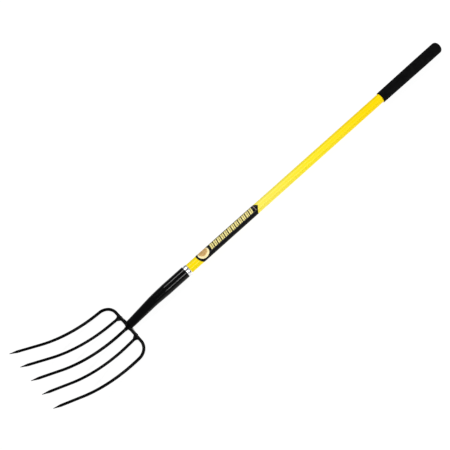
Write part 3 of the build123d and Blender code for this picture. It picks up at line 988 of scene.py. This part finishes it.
def closed_grid_faces(columns, rows):
    """Faces of a closed slab whose two layers are columns by rows grids."""
    layer = columns * rows
    faces = []
    for i in range(columns - 1):
        for j in range(rows - 1):
            a = i * rows + j
            quad = (a, a + 1, a + rows + 1, a + rows)
            faces += [quad, tuple(layer + k for k in reversed(quad))]
    border = [i * rows for i in range(columns)]
    border += [(columns - 1) * rows + j for j in range(1, rows)]
    border += [i * rows + rows - 1 for i in range(columns - 2, -1, -1)]
    border += range(rows - 2, 0, -1)
    for a, b in zip(border, border[1:] + border[:1]):
        faces.append((a, b, layer + b, layer + a))
    return faces


def label_low(s):
    """Lower end of the label at arc distance s: its rounded nose and rising sides."""
    top = HANDLE_R + 1 * MM
    height = HANDLE_R * math.cos(s / HANDLE_R + LABEL_TURN - LABEL_NOSE_TURN)
    slack, pull = top - LABEL_NOSE_PULL, 2 * LABEL_NOSE_PULL
    t = (math.sqrt(slack ** 2 + pull * (top - height)) - slack) / pull
    return label_box[0].x + LABEL_NOSE_RISE * t ** 2


def label_high(s):
    """Upper end of the label at arc distance s: a shallow roof."""
    aside = HANDLE_R * abs(math.sin(s / HANDLE_R))
    return label_box[0].x + LABEL_LENGTH - LABEL_ROOF * aside / (HANDLE_R + 1 * MM)


def ink_disc(x, s, radius, squash, lift):
    """Printed disc: a thin closed form on the tube's curve, flattened across by squash."""
    angles = np.arange(64) * TAU / 64
    radii = steps(0.3 * MM, radius, 1.2 * MM)
    rows = [(r, lift) for r in radii] + [(r, lift - INK_DEPTH) for r in radii[::-1]]
    circle = [(math.cos(a), squash * math.sin(a)) for a in angles]
    return skin([[on_handle(x + r * c, s + r * d, level) for c, d in circle] for r, level in rows])


def ink_bar(corners, lift):
    """Printed four-sided patch that follows the tube's curve."""
    columns, rows = 14, 4
    first, second, third, fourth = (np.array(c, float) for c in corners)
    grid = []
    for level in (lift - INK_DEPTH, lift):
        for u in np.linspace(0, 1, columns):
            for v in np.linspace(0, 1, rows):
                x, s = (first * (1 - v) + second * v) * (1 - u) + (fourth * (1 - v) + third * v) * u
                grid.append(on_handle(x, s, level))
    return grid, closed_grid_faces(columns, rows)


def ray_corners(place):
    """Corners of one short stroke in the medallion, place strokes from its middle."""
    x = label_box[0].x + EMBLEM_X + place * RAY_PITCH
    low = EMBLEM_S - (12.5 - 1.2 * abs(place)) * MM
    high = EMBLEM_S + (5.6 - 0.55 * place ** 2) * MM
    return ((x - 0.4 * MM, low), (x + 0.4 * MM, low), (x + 1.0 * MM, high), (x - 1.0 * MM, high))


def bar_corners(x, width):
    """Corners of one slanted bar."""
    low, high = x - BAR_SLANT * BAR_LOW, x - BAR_SLANT * BAR_HIGH
    return ((low, BAR_LOW), (low + width, BAR_LOW), (high + width, BAR_HIGH), (high, BAR_HIGH))


def build_label_print():
    """Generic print on the label: a medallion, a row of slanted bars and a thin line."""
    start = label_box[0].x
    lift = LABEL_THICKNESS + 0.05 * MM
    emblem_x = start + EMBLEM_X

    def printed(name, material, *forms):
        verts, faces = [], []
        for form in forms:
            append_skin(verts, faces, *form)
        make_object(name, verts, faces, material, "label_film", sharp=50)

    ring = ink_disc(emblem_x, EMBLEM_S, RING_R, RING_SQUASH, lift)
    field = ink_disc(emblem_x, EMBLEM_S + FIELD_SHIFT, FIELD_R, FIELD_SQUASH, lift + INK_DEPTH)
    places = [i - RAY_COUNT // 2 for i in range(RAY_COUNT)]
    rays = [ink_bar(ray_corners(place), lift + 2 * INK_DEPTH) for place in places]
    bars = []
    for i in range(BAR_CELLS):
        for offset, width in BAR_OFFSETS_AND_WIDTHS:
            x = start + BARS_X + i * BAR_PITCH + offset
            bars.append(ink_bar(bar_corners(x, width), lift))
    x, end = start + LINE_X, start + LINE_X + LINE_WIDTH
    corners = ((x, LINE_LOW), (end, LINE_LOW), (end, LINE_HIGH), (x, LINE_HIGH))
    printed("label_ring_print", pale_ink, ring)
    printed("label_disc_print", tan_ink, field)
    printed("label_ray_print", brown_ink, *rays)
    printed("label_bar_print", gold_ink, *bars)
    printed("label_line_print", grey_ink, ink_bar(corners, lift))


# ----------------------------------------------------------------------- scene


def build_floor():
    """Plain pale floor under the tool."""
    bpy.ops.mesh.primitive_plane_add(size=FLOOR_SIZE, location=(0, 0, cad_box[0].z - FLOOR_GAP))
    floor = bpy.context.object
    floor.name = "floor"
    f = Finish("floor_pale", (0.12, 0.12, 0.12), 0.9, Specular_IOR_Level=0.0)
    f.shader.inputs["Emission Color"].default_value = (1, 1, 1, 1)
    f.shader.inputs["Emission Strength"].default_value = FLOOR_GLOW
    floor.data.materials.append(f.material)


def strip_light(name, degrees):
    """Long soft light parallel to the handle, turned about it from straight up towards -Y."""
    data = bpy.data.lights.new(name, "AREA")
    data.shape = "RECTANGLE"
    data.size = STRIP_LENGTH
    data.size_y = STRIP_WIDTH
    data.energy = STRIP_POWER
    light = bpy.data.objects.new(name, data)
    a = math.radians(degrees)
    light.location = (STRIP_MIDDLE_X, -STRIP_DISTANCE * math.sin(a), STRIP_DISTANCE * math.cos(a))
    light.rotation_euler = (a, 0, 0)
    bpy.context.scene.collection.objects.link(light)


def build_lights():
    """Pale surroundings and two long soft lights over the tool."""
    world = bpy.data.worlds.new("studio")
    world.use_nodes = True
    world.node_tree.nodes["Background"].inputs["Color"].default_value = (0.95, 0.97, 1.0, 1)
    world.node_tree.nodes["Background"].inputs["Strength"].default_value = 0.3
    bpy.context.scene.world = world
    strip_light("strip_far", -24.0)
    strip_light("strip_near", 51.5)


def build_camera():
    """Camera at the photograph's angle: high over the -Y side and rolled."""
    azimuth, elevation, roll = (math.radians(a) for a in CAMERA_ANGLES)
    flat = math.cos(elevation)
    back = Vector((math.sin(azimuth) * flat, -math.cos(azimuth) * flat, math.sin(elevation)))
    data = bpy.data.cameras.new("camera")
    data.sensor_width = 36
    data.lens = CAMERA_LENS
    data.clip_start, data.clip_end = 0.1, 100
    camera = bpy.data.objects.new("camera", data)
    camera.rotation_mode = "QUATERNION"
    camera.location = Vector(CAMERA_TARGET) + back * CAMERA_DISTANCE
    camera.rotation_quaternion = (-back).to_track_quat("-Z", "Y") @ Quaternion((0, 0, 1), roll)
    bpy.context.scene.collection.objects.link(camera)
    bpy.context.scene.camera = camera


build_bow()
build_inner_tine(1, "inner_tine_right_bar", "inner_tine_right")
build_inner_tine(-1, "inner_tine_left_bar", "inner_tine_left")
build_centre_tine()
build_boss()
build_boss_beads()
build_gusset(1, "gusset_right_wedge", "gusset_right")
build_gusset(-1, "gusset_left_wedge", "gusset_left")
build_root_weld(1, "weld_inner_right_web", "weld_inner_right")
build_root_weld(-1, "weld_inner_left_web", "weld_inner_left")
build_socket()
build_rivet("rivet_front_head", "rivet_front")
build_rivet("rivet_rear_head", "rivet_rear")
build_collar()
build_handle()
build_grip()
build_label_sheet()
build_label_print()
for node, material in (("core_dowel", wood), ("end_plug", plastic)):
    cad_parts[node].data.materials.clear()
    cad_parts[node].data.materials.append(material)
build_floor()
build_lights()
build_camera()
bpy.context.scene.view_settings.view_transform = "Standard"
